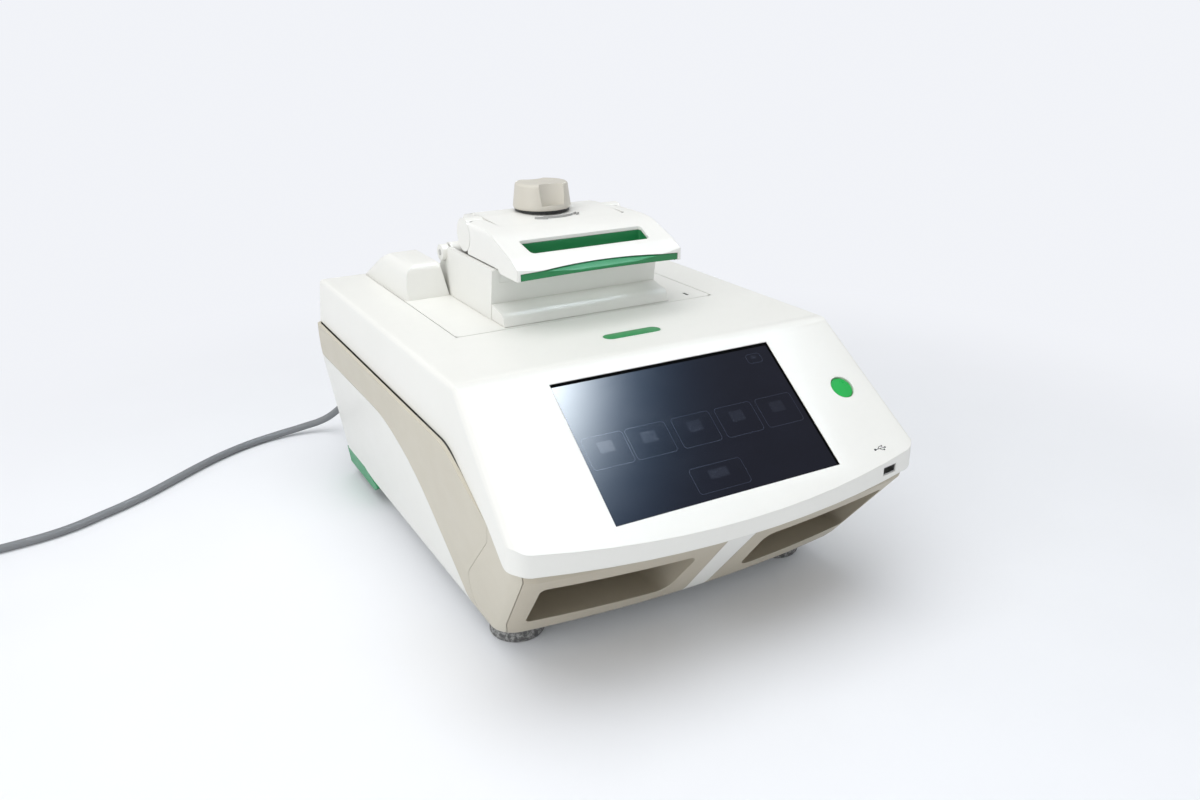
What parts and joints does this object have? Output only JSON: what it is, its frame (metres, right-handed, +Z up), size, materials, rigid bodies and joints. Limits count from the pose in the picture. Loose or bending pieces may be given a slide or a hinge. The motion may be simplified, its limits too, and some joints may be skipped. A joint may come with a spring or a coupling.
{
  "type": "thermal cycler",
  "caption": "Bench thermal cycler with a sloping touch screen, air intakes in the chin and a lift-out block module under a hinged heated lid with a green lever grip.",
  "frame": {"origin": "on the bench, under the middle of the chassis", "axes": "+X to the user's right, +Y to the rear, +Z up"},
  "size_m": [0.7894, 0.5877, 0.3],
  "materials": {
    "housing_white": "warm off-white moulded plastic, fine satin texture",
    "lid_white": "warm off-white moulded plastic, satin",
    "trim_beige": "beige-grey moulded plastic, matte",
    "bezel_beige": "beige-grey moulded plastic, matte",
    "knob_beige": "beige moulded plastic, matte",
    "rear_paint": "painted sheet metal, fine texture",
    "skirt_green": "green moulded plastic, matte",
    "handle_green": "deep green moulded plastic, satin",
    "button_green": "green moulded plastic, semi-gloss",
    "foot_rubber": "speckled grey moulded rubber",
    "black_rubber": "black gasket",
    "black_plastic": "black moulded plastic",
    "black_gloss": "black gloss",
    "display_glass": "dark touch glass",
    "lcd_frame": "dark display module",
    "circuit_board": "green circuit board",
    "steel": "bright steel",
    "sheet_metal": "zinc-plated sheet",
    "aluminium": "machined aluminium",
    "block_metal": "bright machined block",
    "ceramic": "white ceramic faces",
    "cord_grey": "grey cord jacket"
  },
  "bodies": {
    "chassis": {"upper_housing": "housing_white", "base_shell": "housing_white", "side_strip_left": "trim_beige", "side_strip_right": "trim_beige", "corner_cap_left": "trim_beige", "corner_cap_right": "trim_beige", "intake_bezel_left": "bezel_beige", "intake_bezel_right": "bezel_beige", "rear_panel": "rear_paint", "rear_skirt": "skirt_green", "feet": "foot_rubber", "foot_screws": "steel", "bay_tray": "sheet_metal", "display_gasket": "black_rubber", "touch_glass": "display_glass", "lcd_panel": "lcd_frame", "main_board": "circuit_board", "usb_socket": "steel", "button_spring": "steel", "button_board": "circuit_board", "power_supply": "sheet_metal", "power_inlet": "black_plastic", "data_ports": "steel", "fan_frame_left": "black_plastic", "fan_frame_right": "black_plastic", "cord": "cord_grey", "cord_coil": "cord_grey", "cord_connector": "black_plastic", "cord_plug": "black_plastic"},
    "module": {"module_cover": "housing_white", "block_housing": "housing_white", "sample_block": "block_metal", "peltier_elements": "ceramic", "heat_sink": "aluminium", "sink_spacers": "aluminium", "status_window": "black_gloss", "hinge_pin": "steel"},
    "lid": {"lid_frame": "housing_white", "lid_cover": "lid_white", "pivot_pins": "steel"},
    "lever": {"lid_lever": "lid_white", "lever_grip": "handle_green"},
    "knob": {"knob": "knob_beige", "knob_spindle": "steel"},
    "heater": {"heater_plate": "aluminium", "guide_posts": "steel"},
    "button": {"power_button": "button_green"},
    "rocker": {"power_rocker": "black_plastic"},
    "fan_left": {"fan_rotor_left": "black_plastic"},
    "fan_right": {"fan_rotor_right": "black_plastic"}
  },
  "joints": [
    {"name": "module_lift", "type": "slide", "parent": "chassis", "child": "module", "axis": [0, 0, 1], "range_m": [0, 0.17]},
    {"name": "lid_hinge", "type": "hinge", "parent": "module", "child": "lid", "pos_m": [0, 0.118, 0.24], "axis": [-1, 0, 0], "range_deg": [0, 80]},
    {"name": "lever_pivot", "type": "hinge", "parent": "lid", "child": "lever", "pos_m": [0, 0.078, 0.262], "axis": [-1, 0, 0], "range_deg": [0, 28]},
    {"name": "knob_turn", "type": "hinge", "parent": "lid", "child": "knob", "pos_m": [0, 0.078, 0.28], "axis": [0, 0, 1], "range_deg": [0, 180]},
    {"name": "plate_press", "type": "slide", "parent": "lid", "child": "heater", "axis": [0, 0, -1], "range_m": [0, 0.005]},
    {"name": "button_push", "type": "slide", "parent": "chassis", "child": "button", "axis": [0, 0.5948, -0.8039], "range_m": [0, 0.0012], "stiffness_N_per_m": 1500},
    {"name": "rocker_tilt", "type": "hinge", "parent": "chassis", "child": "rocker", "pos_m": [-0.124, 0.2265, 0.1], "axis": [1, 0, 0], "range_deg": [0, 16]},
    {"name": "fan_left_spin", "type": "hinge", "parent": "chassis", "child": "fan_left", "pos_m": [-0.054, -0.0303, 0.088], "axis": [0, 1, 0], "continuous": true},
    {"name": "fan_right_spin", "type": "hinge", "parent": "chassis", "child": "fan_right", "pos_m": [0.054, -0.0303, 0.088], "axis": [0, 1, 0], "continuous": true}
  ],
  "couplings": [
    {"joint": "plate_press", "follows": "knob_turn", "m_per_rad": 0.00159}
  ]
}
